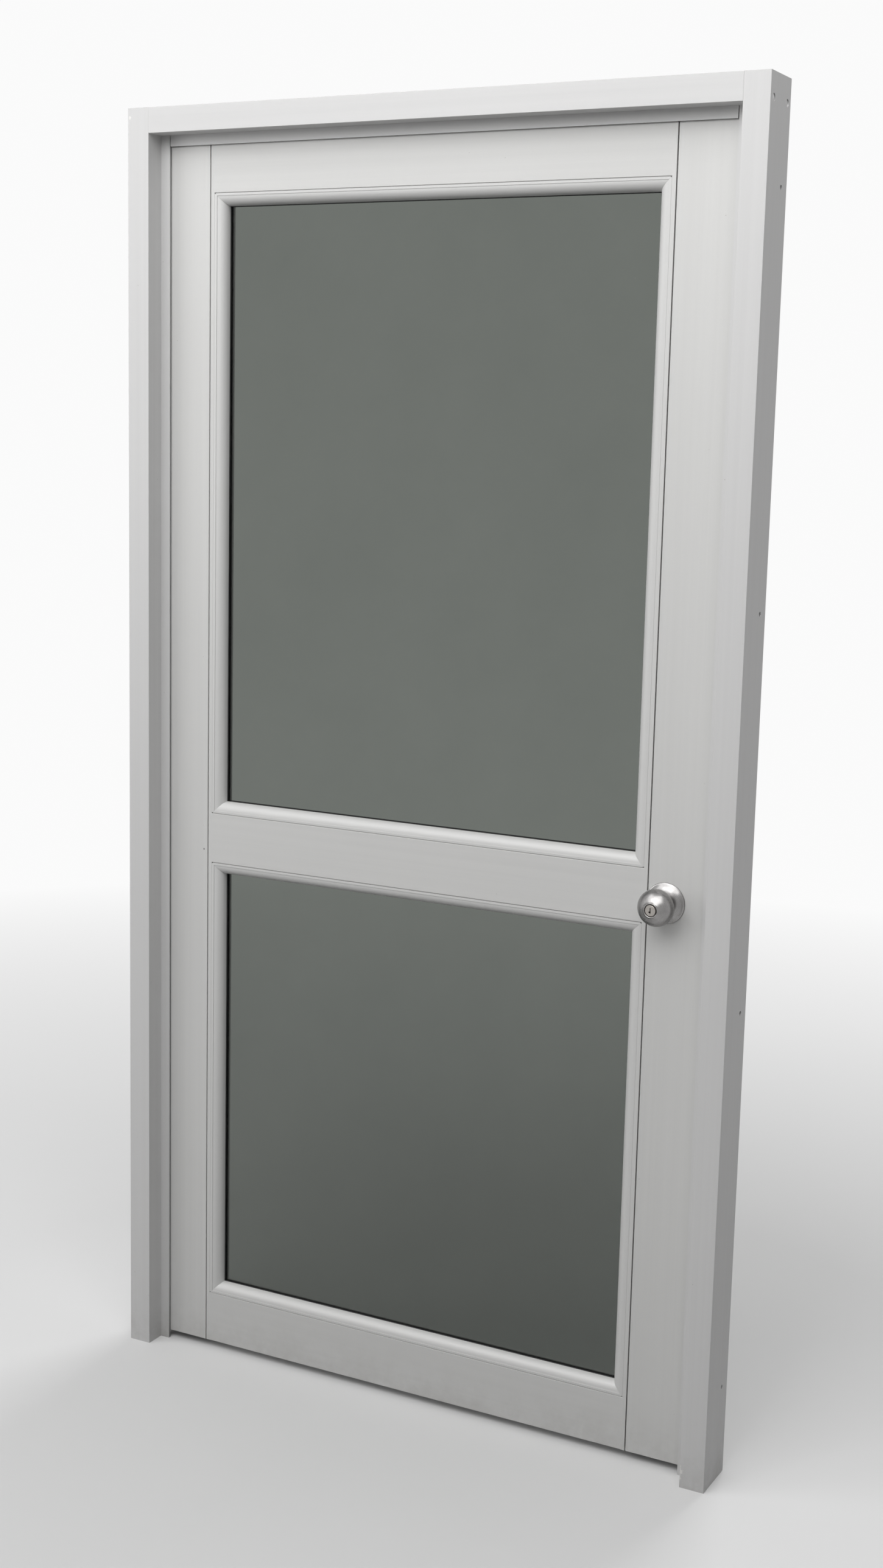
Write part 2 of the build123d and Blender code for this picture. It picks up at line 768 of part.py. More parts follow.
# Latch: a round case in the edge of the leaf, a sliding bolt and its face plate.
with BuildPart() as latch_case:
    case_start = knob_x - latch_case_tail
    turned((case_start, 0, knob_level), (1, 0, 0), latch_case_radius, leaf_right - case_start)
    spindle_hole = spindle_radius + soft_gap
    turned((knob_x, leaf_front, knob_level), (0, 1, 0), spindle_hole, leaf_thick, Mode.SUBTRACT)
    slide = bolt_size + 2 * bolt_slide_gap
    slide_depth = bolt_length + bolt_travel - bolt_reach
    with BuildSketch(side_plane(leaf_right)):
        with Locations((0, knob_level)):
            Rectangle(slide, slide)
    extrude(amount=-slide_depth, mode=Mode.SUBTRACT)
write(latch_case, "latch_case")

face_x = leaf_right + face_plate_thick
with BuildPart() as latch_faceplate:
    with BuildSketch(side_plane(leaf_right)):
        with Locations((0, knob_level)):
            RectangleRounded(face_plate_width, face_plate_height, plate_corner)
            Rectangle(bolt_size + 2 * soft_gap, bolt_size + 2 * soft_gap, mode=Mode.SUBTRACT)
    extrude(amount=face_plate_thick)
    for y, z in face_screw_spots:
        spot = (face_x, y, z)
        flat_screw_hole(spot, (-1, 0, 0), face_plate_thick, small_screw_radius, small_head_radius)
write(latch_faceplate, "latch_faceplate")

with BuildPart() as faceplate_screws:
    for y, z in face_screw_spots:
        flat_screw((face_x, y, z), (-1, 0, 0), small_screw_length, small_screw_radius, small_head_radius)
write(faceplate_screws, "faceplate_screws")

with BuildPart() as latch_bolt:
    bolt_tip = face_x + bolt_reach
    half = bolt_size / 2
    with BuildSketch(Plane.XY.offset(knob_level - half)):
        with BuildLine():
            SagittaArc((bolt_tip - bolt_bevel, -half), (bolt_tip, half - bolt_nose), -bolt_bevel_bulge)
            Polyline(
                (bolt_tip, half - bolt_nose),
                (bolt_tip, half),
                (bolt_tip - bolt_length, half),
                (bolt_tip - bolt_length, -half),
                (bolt_tip - bolt_bevel, -half),
            )
        make_face()
    extrude(amount=bolt_size)
write(latch_bolt, "latch_bolt")

# Strike plate: flat on the jamb, with a lip rolled round its back corner.
with BuildPart() as strike_plate:
    strike_x = opening_half - strike_thick
    with BuildSketch(side_plane(strike_x)) as outline:
        with Locations(((frame_back - strike_front) / 2, knob_level)):
            Rectangle(frame_back + strike_front, strike_height)
        fillet(outline.vertices().group_by(Axis.X)[0], plate_corner)
        with Locations((0, knob_level)):
            RectangleRounded(strike_hole, strike_hole, strike_hole_corner, mode=Mode.SUBTRACT)
    extrude(amount=strike_thick)
    with BuildSketch(Plane.XY.offset(knob_level - strike_lip_height / 2)):
        with BuildLine():
            bend = (opening_half + strike_lip_radius, frame_back)
            inside = CenterArc(bend, strike_lip_radius, 180, -strike_lip_sweep)
            outside = CenterArc(bend, strike_lip_radius + strike_thick, 180, -strike_lip_sweep)
            Line(inside @ 0, outside @ 0)
            Line(inside @ 1, outside @ 1)
        make_face()
    extrude(amount=strike_lip_height)
    for y, z in strike_screw_spots:
        flat_screw_hole((strike_x, y, z), (1, 0, 0), strike_thick, small_screw_radius, small_head_radius)
write(strike_plate, "strike_plate")

with BuildPart() as strike_screws:
    for y, z in strike_screw_spots:
        flat_screw((strike_x, y, z), (1, 0, 0), small_screw_length, small_screw_radius, small_head_radius)
write(strike_screws, "strike_screws")
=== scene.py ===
# %% [markdown]
# # A glazed aluminium door in its frame
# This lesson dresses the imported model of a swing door: hollow aluminium profiles with a
# matte silver coating, quarter-round glazing beads, grey-green glass and a satin steel
# knob set. The profiles already have their true shape in the model, so most of the work
# here is in the finishes. The turned and moulded pieces, whose smooth curves show most,
# are modelled again with Blender's own operators.

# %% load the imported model
import math

import bmesh
import bpy
from mathutils import Matrix, Vector


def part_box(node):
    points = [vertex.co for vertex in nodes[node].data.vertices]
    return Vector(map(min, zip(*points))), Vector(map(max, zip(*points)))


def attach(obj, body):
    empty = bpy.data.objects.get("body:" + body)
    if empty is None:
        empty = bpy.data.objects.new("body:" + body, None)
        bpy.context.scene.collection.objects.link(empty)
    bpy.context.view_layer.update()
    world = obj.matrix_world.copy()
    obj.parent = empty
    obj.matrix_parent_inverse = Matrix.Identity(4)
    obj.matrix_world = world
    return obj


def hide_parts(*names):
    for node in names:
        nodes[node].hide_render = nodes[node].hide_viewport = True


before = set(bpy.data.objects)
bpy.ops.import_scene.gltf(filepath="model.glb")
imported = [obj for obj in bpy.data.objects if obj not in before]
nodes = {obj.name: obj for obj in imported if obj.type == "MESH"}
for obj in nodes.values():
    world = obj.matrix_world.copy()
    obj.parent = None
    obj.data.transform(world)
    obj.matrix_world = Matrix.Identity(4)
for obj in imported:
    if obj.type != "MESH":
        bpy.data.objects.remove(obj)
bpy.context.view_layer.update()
MM = 0.001

# %% [markdown]
# New pieces and marks need places, and these come from the model itself. The box of a
# turned piece gives both its axis and its radius, because such a piece is as wide to one
# side of its axis as to the other.


# %% measure where the main pieces are
def box_middle(node):
    """The middle of a node's box."""
    low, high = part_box(node)
    return (low + high) / 2


def radius_mm(node):
    """A turned piece's radius to a tenth, because the model's facets cut a hair off it."""
    low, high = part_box(node)
    return round((high.x - low.x) / 2 / MM, 1)


knob_axis = box_middle("outer_knob")
leaf_low, leaf_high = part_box("lock_stile")
jamb_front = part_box("jamb_right")[0].y
pane_low, pane_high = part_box("upper_glass")
print("knob axis at x %.4f, z %.4f" % (knob_axis.x, knob_axis.z))
print("leaf faces at y %.4f and %.4f" % (leaf_low.y, leaf_high.y))
print("frame front at y %.4f" % jamb_front)

# %% [markdown]
# Every finish is a material with a Principled shader and some nodes round it. Nodes can be
# added one by one with their links, but that makes long cells in which the idea is lost.
# The helpers below each add one node and take sockets or plain values alike, so that a
# finish reads as a short recipe.


# %% helpers that start materials and node groups
def start_material(name):
    """A new material with a Principled shader. Returns the material, its tree and the shader."""
    material = bpy.data.materials.new(name)
    material.use_nodes = True
    tree = material.node_tree
    return material, tree, tree.nodes["Principled BSDF"]


def start_group(name, inputs, outputs):
    """A node group. inputs is a list of (name, type, default), outputs of (name, type)."""
    group = bpy.data.node_groups.new(name, "ShaderNodeTree")
    for socket_name, kind, default in inputs:
        socket = group.interface.new_socket(socket_name, in_out="INPUT", socket_type=kind)
        socket.default_value = default
    for socket_name, kind in outputs:
        group.interface.new_socket(socket_name, in_out="OUTPUT", socket_type=kind)
    start = group.nodes.new("NodeGroupInput")
    end = group.nodes.new("NodeGroupOutput")
    return group, start.outputs, end.inputs


def place_group(tree, group, **values):
    """Puts a node group into a tree, sets its named inputs and returns its outputs."""
    node = tree.nodes.new("ShaderNodeGroup")
    node.node_tree = group
    for key, value in values.items():
        node.inputs[key.replace("_", " ")].default_value = value
    return node.outputs


print("starters ready")


# %% helpers that add one node
def feed(tree, target, value):
    """Links a socket to a node's input, or sets the input to a plain value."""
    if isinstance(value, bpy.types.NodeSocket):
        tree.links.new(value, target)
    else:
        target.default_value = value


def object_place(tree):
    """The point on the surface in the object's own coordinates."""
    return tree.nodes.new("ShaderNodeTexCoord").outputs["Object"]


def noise(tree, vector, scale, detail=3.0, roughness=0.5):
    """The value of a noise texture at a vector."""
    node = tree.nodes.new("ShaderNodeTexNoise")
    node.inputs["Detail"].default_value = detail
    node.inputs["Roughness"].default_value = roughness
    feed(tree, node.inputs["Vector"], vector)
    feed(tree, node.inputs["Scale"], scale)
    return node.outputs["Fac"]


def calc(tree, operation, first, second, clamp=False):
    """A Math node on two values."""
    node = tree.nodes.new("ShaderNodeMath")
    node.operation = operation
    node.use_clamp = clamp
    feed(tree, node.inputs[0], first)
    feed(tree, node.inputs[1], second)
    return node.outputs["Value"]


def vector_calc(tree, operation, first, second=None):
    """A Vector Math node on one or two vectors. LENGTH gives a value, the rest a vector."""
    node = tree.nodes.new("ShaderNodeVectorMath")
    node.operation = operation
    feed(tree, node.inputs[0], first)
    if second is not None:
        feed(tree, node.inputs["Scale" if operation == "SCALE" else 1], second)
    return node.outputs["Value" if operation == "LENGTH" else "Vector"]


def split(tree, vector):
    """The three numbers of a vector, as the outputs X, Y and Z."""
    node = tree.nodes.new("ShaderNodeSeparateXYZ")
    feed(tree, node.inputs[0], vector)
    return node.outputs


def remap(tree, value, low, high, new_low, new_high):
    """Stretches a value from low..high to new_low..new_high, and holds it there."""
    node = tree.nodes.new("ShaderNodeMapRange")
    feed(tree, node.inputs["Value"], value)
    feed(tree, node.inputs["From Min"], low)
    feed(tree, node.inputs["From Max"], high)
    feed(tree, node.inputs["To Min"], new_low)
    feed(tree, node.inputs["To Max"], new_high)
    return node.outputs["Result"]


print("node helpers ready")

# %% [markdown]
# The coating of the profiles is a matte silver with a very fine grain. Under raking light
# an extruded profile also shows soft streaks along its length, because the die leaves its
# marks that way. Both could be painted on an image, but a noise texture that is stretched
# along the profile gives them at any size and needs no picture. A third, very large noise
# keeps a long face from looking printed in one tone.


# %% node group for the matte silver coating
GRAIN_SCALE = 2600.0
CLOUD_SCALE = 2.2
CLOUD_DEPTH = 0.05
STREAK_GLOSS = 0.7


def grey(level):
    """A neutral colour."""
    return (level, level, level, 1.0)


def swing(tree, value, depth):
    """Turns a noise of 0 to 1 into one that swings about zero."""
    return calc(tree, "MULTIPLY", calc(tree, "SUBTRACT", value, 0.5), depth)


coating, coat_in, coat_out = start_group(
    "silver coating",
    [
        ("Base", "NodeSocketColor", grey(0.6)),
        ("Streak Scale", "NodeSocketVector", (60.0, 60.0, 1.0)),
        ("Streak Depth", "NodeSocketFloat", 0.1),
        ("Grain Depth", "NodeSocketFloat", 0.08),
        ("Roughness", "NodeSocketFloat", 0.55),
    ],
    [("Color", "NodeSocketColor"), ("Roughness", "NodeSocketFloat"), ("Height", "NodeSocketFloat")],
)
place = object_place(coating)
drawn_out = vector_calc(coating, "MULTIPLY", place, coat_in["Streak Scale"])
streaks = noise(coating, drawn_out, 1.0, detail=4.0, roughness=0.6)
grain = noise(coating, place, GRAIN_SCALE, detail=2.0)
clouds = noise(coating, place, CLOUD_SCALE, detail=2.0)
streak_part = swing(coating, streaks, coat_in["Streak Depth"])
grain_part = swing(coating, grain, coat_in["Grain Depth"])
cloud_part = swing(coating, clouds, CLOUD_DEPTH)
shade = calc(coating, "ADD", calc(coating, "ADD", streak_part, grain_part), cloud_part)
brightness = calc(coating, "ADD", shade, 1.0)
feed(coating, coat_out["Color"], vector_calc(coating, "SCALE", coat_in["Base"], brightness))
gloss_part = calc(coating, "MULTIPLY", streak_part, STREAK_GLOSS)
feed(coating, coat_out["Roughness"], calc(coating, "ADD", coat_in["Roughness"], gloss_part))
feed(coating, coat_out["Height"], grain)
print("coating group:", len(coating.nodes), "nodes")

# %% [markdown]
# A door in use isn't spotless, and fine dust settles low down on it. The dust could be
# painted on by hand, but a mask that fades with height does it for every profile at once,
# and a noise breaks the mask up into patches. It is a node group, so that each material
# can carry it.

# %% node group for floor dust
PATCH_SCALE = 24.0

dust, dust_in, dust_out = start_group(
    "floor dust",
    [("Reach", "NodeSocketFloat", 0.12), ("Amount", "NodeSocketFloat", 0.5)],
    [("Mask", "NodeSocketFloat")],
)
place = object_place(dust)
near_floor = remap(dust, split(dust, place)["Z"], 0.0, dust_in["Reach"], 1.0, 0.0)
patch_noise = noise(dust, place, PATCH_SCALE, detail=6.0, roughness=0.65)
patches = remap(dust, patch_noise, 0.38, 0.68, 0.0, 1.0)
settled = calc(dust, "MULTIPLY", calc(dust, "POWER", near_floor, 2.0), patches)
feed(dust, dust_out["Mask"], calc(dust, "MULTIPLY", settled, dust_in["Amount"], clamp=True))
print("dust group:", len(dust.nodes), "nodes")

# %% [markdown]
# Fitting the frame has left a dab of plaster at the top of one jamb and a smear at the foot
# of the other. Such a mark could be a small mesh of its own, but it is thinner than paper.
# A mask round a point is enough: the distance from the point is measured in sizes of the
# mark, and a noise makes the edge ragged. The same mask also puts a dot of painted shade
# on the hinge stile, for the shadow in a small hole where rail, channel and bead meet.

# %% node group for a plaster dab and a shade dot
RAGGED_REACH = 3.0

dot_mask, dab_in, dab_out = start_group(
    "plaster and shade dot",
    [
        ("Centre", "NodeSocketVector", (0.0, 0.0, 0.0)),
        ("Size", "NodeSocketVector", (0.01, 0.01, 0.01)),
        ("Ragged", "NodeSocketFloat", 0.6),
        ("Noise Scale", "NodeSocketFloat", 260.0),
    ],
    [("Mask", "NodeSocketFloat")],
)
place = object_place(dot_mask)
from_centre = vector_calc(dot_mask, "SUBTRACT", place, dab_in["Centre"])
in_sizes = vector_calc(dot_mask, "LENGTH", vector_calc(dot_mask, "DIVIDE", from_centre, dab_in["Size"]))
raggedness = swing(dot_mask, noise(dot_mask, place, dab_in["Noise Scale"], detail=5.0), dab_in["Ragged"])
edge = calc(dot_mask, "ADD", in_sizes, calc(dot_mask, "MULTIPLY", raggedness, RAGGED_REACH))
feed(dot_mask, dab_out["Mask"], remap(dot_mask, edge, 0.75, 1.0, 1.0, 0.0))
print("dab group:", len(dot_mask.nodes), "nodes")

# %% [markdown]
# Tiny dried specks lie scattered over profiles and glass. They could be placed one by one,
# but a Voronoi texture scatters them for free: each of its cells has one centre, and only
# the surface that passes close to that centre becomes a speck.

# %% node group for dried specks
CORE_SHARE = 0.5

specks, specks_in, specks_out = start_group(
    "dried specks",
    [("Density", "NodeSocketFloat", 30.0), ("Size", "NodeSocketFloat", 0.024)],
    [("Mask", "NodeSocketFloat")],
)
cells = specks.nodes.new("ShaderNodeTexVoronoi")
feed(specks, cells.inputs["Vector"], object_place(specks))
feed(specks, cells.inputs["Scale"], specks_in["Density"])
core = calc(specks, "MULTIPLY", specks_in["Size"], CORE_SHARE)
speck_mask = remap(specks, cells.outputs["Distance"], core, specks_in["Size"], 1.0, 0.0)
feed(specks, specks_out["Mask"], speck_mask)
print("speck group:", len(specks.nodes), "nodes")

# %% [markdown]
# Masks and heights have to reach the shader. A Mix node lets a mask lay one colour over
# another, as dust lies on paint. A Bump node turns a height into relief that only the light
# sees, which is enough for a grain that is far finer than any mesh could be.


# %% helpers that lay a colour on and add relief
def mix_color(tree, amount, first, second):
    """Blends two colours by a mask."""
    node = tree.nodes.new("ShaderNodeMix")
    node.data_type = "RGBA"
    feed(tree, node.inputs["Factor"], amount)
    feed(tree, node.inputs["A"], first)
    feed(tree, node.inputs["B"], second)
    return node.outputs["Result"]


def add_bump(tree, shader, height, strength, distance):
    """Gives the shader's normal the relief of a height, with a Bump node."""
    node = tree.nodes.new("ShaderNodeBump")
    node.inputs["Strength"].default_value = strength
    node.inputs["Distance"].default_value = distance
    feed(tree, node.inputs["Height"], height)
    feed(tree, shader.inputs["Normal"], node.outputs["Normal"])


print("shader helpers ready")

# %% [markdown]
# Now the coated materials. The frame, the leaf and the beads come from different bars, so
# each has a slightly different silver. Each is made for standing profiles, with streaks
# that run up, and for lying ones, with streaks that run across. Four profiles carry a mark
# of their own, and so have a material of their own. Three marks are plaster, and the fourth
# is painted shade: a dark dot for the shadow in a small hole where parts meet.


# %% a coated material
PLASTER = (0.8, 0.79, 0.77, 1.0)
DUST = (0.42, 0.41, 0.39, 1.0)
# A dark tone of painted shade, for the small hole where rail, channel and bead meet.
HOLE_SHADE_DARK = (0.16, 0.155, 0.15, 1.0)
STREAKS_UP = (90.0, 90.0, 0.7)
STREAKS_ACROSS = (0.7, 90.0, 90.0)
COAT_METALLIC = 0.15
COAT_RELIEF = 0.25
COAT_DEPTH = 0.06 * MM
MARK_HEIGHT = 6.0


def coated(name, base, streaks_along, mark=None):
    """Matte silver coating with dust, specks and perhaps a mark: centre, size, noise, tint."""
    material, tree, shader = start_material(name)
    coat = place_group(tree, coating, Base=(*base, 1.0), Streak_Scale=streaks_along)
    height = coat["Height"]
    color = mix_color(tree, place_group(tree, dust)["Mask"], coat["Color"], DUST)
    color = mix_color(tree, place_group(tree, specks)["Mask"], color, DUST)
    if mark:
        centre, size, noise_scale, tint = mark
        spot = place_group(tree, dot_mask, Centre=centre, Size=size, Noise_Scale=noise_scale)["Mask"]
        color = mix_color(tree, spot, color, tint)
        height = calc(tree, "ADD", height, calc(tree, "MULTIPLY", spot, MARK_HEIGHT))
    feed(tree, shader.inputs["Base Color"], color)
    feed(tree, shader.inputs["Roughness"], coat["Roughness"])
    shader.inputs["Metallic"].default_value = COAT_METALLIC
    add_bump(tree, shader, height, COAT_RELIEF, COAT_DEPTH)
    return material


print("streaks up:", STREAKS_UP, "across:", STREAKS_ACROSS)


# %% coat the frame
def finish_node(node, material):
    """Gives a node of the model its material."""
    data = nodes[node].data
    data.materials.clear()
    data.materials.append(material)


FRAME_SILVER = (0.655, 0.652, 0.65)
left_dab = ((-0.536, jamb_front, 2.085), (0.0026, 0.01, 0.003), 300.0, PLASTER)
right_smear = ((0.4975, jamb_front + 18 * MM, 0.025), (0.008, 0.045, 0.019), 160.0, PLASTER)

finish_node("jamb_left", coated("frame silver left", FRAME_SILVER, STREAKS_UP, left_dab))
finish_node("jamb_right", coated("frame silver right", FRAME_SILVER, STREAKS_UP, right_smear))
finish_node("head", coated("frame silver across", FRAME_SILVER, STREAKS_ACROSS))
print("marks on the frame at heights", left_dab[0][2], "and", right_smear[0][2])

# %% coat the leaf and its beads
LEAF_SILVER = (0.65, 0.648, 0.638)
BEAD_SILVER = (0.655, 0.653, 0.645)
# Painted shade: a dark dot on the hinge stile at the foot of the mid rail, for the shadow in the
# small hole where rail, channel and bead meet.
corner_hole_shade = ((-0.415, leaf_low.y, 0.895), (0.0014, 0.004, 0.0016), 700.0, HOLE_SHADE_DARK)
edge_crumbs = ((0.442, leaf_low.y, 0.012), (0.016, 0.004, 0.003), 420.0, PLASTER)

leaf_up = coated("leaf silver upright", LEAF_SILVER, STREAKS_UP)
leaf_across = coated("leaf silver across", LEAF_SILVER, STREAKS_ACROSS)
bead_up = coated("bead silver upright", BEAD_SILVER, STREAKS_UP)
bead_across = coated("bead silver across", BEAD_SILVER, STREAKS_ACROSS)
finish_node("hinge_stile", coated("leaf silver hinge side", LEAF_SILVER, STREAKS_UP, corner_hole_shade))
finish_node("lock_stile", coated("leaf silver lock side", LEAF_SILVER, STREAKS_UP, edge_crumbs))
for node in ("channel_left", "channel_right"):
    finish_node(node, leaf_up)
for node in ("top_rail", "mid_rail", "bottom_rail"):
    finish_node(node, leaf_across)
for pane in ("upper", "lower"):
    for edge_name in ("top", "bottom"):
        finish_node(f"{pane}_bead_{edge_name}", bead_across)
    for edge_name in ("left", "right"):
        finish_node(f"{pane}_bead_{edge_name}", bead_up)
    finish_node(f"{pane}_back_beads", bead_across)
print("coated materials:", len([m for m in bpy.data.materials if "silver" in m.name]))

# %% [markdown]
# The panes are glass with a grey-green tint. A thin sheet with a see-through colour would
# be quicker, but these panes are solid slabs, and full transmission on a Principled shader
# bends and reflects light in them as real glass does. The wipe marks that a cleaned pane
# keeps drift through both tint and roughness, and a few specks have dried on it.

# %% glass
CLEAN_TINT = (0.136, 0.149, 0.135, 1.0)
WIPED_TINT = (0.15, 0.163, 0.148, 1.0)
SPECK_TINT = (0.34, 0.34, 0.32, 1.0)
WIPE_SCALE = 3.0

glass, glass_tree, glass_shader = start_material("grey green glass")
wipes = noise(glass_tree, object_place(glass_tree), WIPE_SCALE, detail=6.0, roughness=0.7)
wiped = remap(glass_tree, wipes, 0.3, 0.7, 0.0, 1.0)
glass_tint = mix_color(glass_tree, wiped, CLEAN_TINT, WIPED_TINT)
on_glass = place_group(glass_tree, specks, Density=24.0, Size=0.02)["Mask"]
specked_tint = mix_color(glass_tree, on_glass, glass_tint, SPECK_TINT)
feed(glass_tree, glass_shader.inputs["Base Color"], specked_tint)
wiped_gloss = remap(glass_tree, wipes, 0.35, 0.75, 0.0, 0.02)
feed(glass_tree, glass_shader.inputs["Roughness"], wiped_gloss)
glass_shader.inputs["Transmission Weight"].default_value = 1.0
glass_shader.inputs["IOR"].default_value = 1.5
glass_shader.inputs["Metallic"].default_value = 0.0
for node in ("upper_glass", "lower_glass"):
    finish_node(node, glass)
print("upper pane in metres:", tuple(round(c, 3) for c in pane_high - pane_low))

# %% [markdown]
# Rubber and plastic are near black. Rubber that has been fitted by hand is a little dusty
# in patches, so one noise moves its colour and its roughness together.


# %% rubber and plastic
RUBBER_GRAIN = 900.0
RUBBER_RELIEF = 0.3
RUBBER_DEPTH = 0.1 * MM


def dark_rubber(name, dark, dusty, patch_scale, gloss):
    """Near-black rubber or plastic with dusty patches. gloss is the roughness from and to."""
    material, tree, shader = start_material(name)
    place_on_piece = object_place(tree)
    dusty_patches = noise(tree, place_on_piece, patch_scale, detail=5.0, roughness=0.6)
    fade = remap(tree, dusty_patches, 0.45, 0.75, 0.0, 1.0)
    color = mix_color(tree, fade, (*dark, 1.0), (*dusty, 1.0))
    feed(tree, shader.inputs["Base Color"], color)
    feed(tree, shader.inputs["Roughness"], remap(tree, dusty_patches, 0.3, 0.7, *gloss))
    grain_height = noise(tree, place_on_piece, RUBBER_GRAIN)
    add_bump(tree, shader, grain_height, RUBBER_RELIEF, RUBBER_DEPTH)
    return material


gasket_rubber = dark_rubber(
    "gasket rubber", (0.012, 0.012, 0.013), (0.05, 0.05, 0.048), 60.0, (0.5, 0.75)
)
seal_rubber = dark_rubber(
    "seal rubber", (0.018, 0.018, 0.019), (0.06, 0.058, 0.055), 40.0, (0.55, 0.8)
)
block_plastic = dark_rubber(
    "block plastic", (0.03, 0.03, 0.03), (0.06, 0.06, 0.06), 80.0, (0.35, 0.5)
)
for pane in ("upper", "lower"):
    for side in ("front", "back"):
        finish_node(f"{pane}_{side}_gasket", gasket_rubber)
finish_node("setting_blocks", block_plastic)
print("rubber pieces done")

# %% [markdown]
# Turned steel keeps the fine rings that the polishing belt leaves as the piece spins. On
# a real knob they run round the axis, so the pattern must depend on the distance from the
# axis and on the place along it, and not on the angle. The group works both out from
# Object coordinates and lets a noise read them, which then makes rings.

# %% node group for turned steel
SMUDGE_SCALE = 90.0

rings, rings_in, rings_out = start_group(
    "turned rings",
    [("Axis Point", "NodeSocketVector", (0.0, 0.0, 0.0)), ("Ring Scale", "NodeSocketFloat", 2200.0)],
    [("Rings", "NodeSocketFloat"), ("Smudge", "NodeSocketFloat")],
)
place = object_place(rings)
from_axis = vector_calc(rings, "SUBTRACT", place, rings_in["Axis Point"])
sideways = vector_calc(rings, "MULTIPLY", from_axis, (1.0, 0.0, 1.0))
ring_place = rings.nodes.new("ShaderNodeCombineXYZ")
feed(rings, ring_place.inputs["X"], vector_calc(rings, "LENGTH", sideways))
feed(rings, ring_place.inputs["Y"], split(rings, from_axis)["Y"])
ring_noise = noise(rings, ring_place.outputs["Vector"], rings_in["Ring Scale"])
feed(rings, rings_out["Rings"], ring_noise)
feed(rings, rings_out["Smudge"], noise(rings, place, SMUDGE_SCALE, detail=5.0, roughness=0.6))
print("ring group:", len(rings.nodes), "nodes")

# %% [markdown]
# The knob set, the hinges, the lock and the screws are all bare metal, but each is polished
# differently. One function makes them all, with its own greys, gloss and fineness of rings
# for each. A worn place is a little darker and duller, so the smudges work on both.


# %% steel materials
RING_DEPTH = 0.04 * MM


def turned_steel(name, base, smudged, gloss, axis_point, ring_scale, ring_relief=0.25):
    """Satin steel with rings round an axis and finger smudges. gloss is roughness from and to."""
    material, tree, shader = start_material(name)
    ring = place_group(tree, rings, Axis_Point=tuple(axis_point), Ring_Scale=ring_scale)
    fingers = remap(tree, ring["Smudge"], 0.35, 0.7, 0.0, 1.0)
    feed(tree, shader.inputs["Base Color"], mix_color(tree, fingers, (*base, 1.0), (*smudged, 1.0)))
    ring_gloss = remap(tree, ring["Rings"], 0.3, 0.7, *gloss)
    smudge_gloss = remap(tree, ring["Smudge"], 0.4, 0.7, 0.0, 0.06)
    feed(tree, shader.inputs["Roughness"], calc(tree, "ADD", ring_gloss, smudge_gloss))
    shader.inputs["Metallic"].default_value = 1.0
    add_bump(tree, shader, ring["Rings"], ring_relief, RING_DEPTH)
    return material


hinge_axis = box_middle("hinge_middle_pin")
knob_steel = turned_steel(
    "knob steel", (0.36, 0.352, 0.348), (0.3, 0.293, 0.29), (0.2, 0.3), knob_axis, 4200.0, 0.12
)
plug_nickel = turned_steel(
    "plug nickel", (0.5, 0.47, 0.435), (0.42, 0.395, 0.37), (0.28, 0.38), knob_axis, 3000.0
)
hinge_steel = turned_steel(
    "hinge steel", (0.6, 0.6, 0.59), (0.5, 0.5, 0.49), (0.3, 0.42), hinge_axis, 1500.0
)
lock_steel = turned_steel(
    "lock steel", (0.58, 0.58, 0.57), (0.48, 0.48, 0.47), (0.3, 0.45), knob_axis, 1200.0
)
screw_steel = turned_steel(
    "screw steel", (0.6, 0.6, 0.6), (0.5, 0.5, 0.5), (0.25, 0.35), hinge_axis, 3000.0
)
print("steel axes at", [tuple(round(c, 4) for c in axis) for axis in (knob_axis, hinge_axis)])

# %% dress the hardware
screw_nodes = (
    "frame_screws", "strike_screws", "hinge_frame_screws", "hinge_door_screws",
    "rail_screws", "rose_bolts", "faceplate_screws",
)
lock_nodes = (
    "outer_mount_plate", "inner_mount_plate", "spindle", "latch_case",
    "latch_bolt", "latch_faceplate", "strike_plate",
)
for hinge in ("bottom", "middle", "top"):
    for part in ("frame_leaf", "door_leaf", "pin"):
        finish_node(f"hinge_{hinge}_{part}", hinge_steel)
for node in screw_nodes:
    finish_node(node, screw_steel)
for node in lock_nodes:
    finish_node(node, lock_steel)
finish_node("key_plug", plug_nickel)
print("screw nodes:", len(screw_nodes), "lock nodes:", len(lock_nodes))

# %% [markdown]
# A knob is turned on a lathe, and Blender's spin operator is the lathe: half an outline is
# turned about the axis into a closed skin. The outline has only the points that the shape
# needs. A Subdivision Surface modifier rounds it, and where two points lie close together
# the edge stays sharp. A bevelled cylinder would also be round, but it couldn't give the
# knob's shoulder and cone in one flowing curve.


# %% a lathe
LATHE_STEPS = 48
SMOOTH_LEVELS = 2
SAME_PLACE = 0.001 * MM


def make_object(name, mesh, material):
    """Turns a bmesh into an object at the origin with one material."""
    data = bpy.data.meshes.new(name)
    mesh.to_mesh(data)
    mesh.free()
    data.materials.append(material)
    piece = bpy.data.objects.new(name, data)
    bpy.context.scene.collection.objects.link(piece)
    return piece


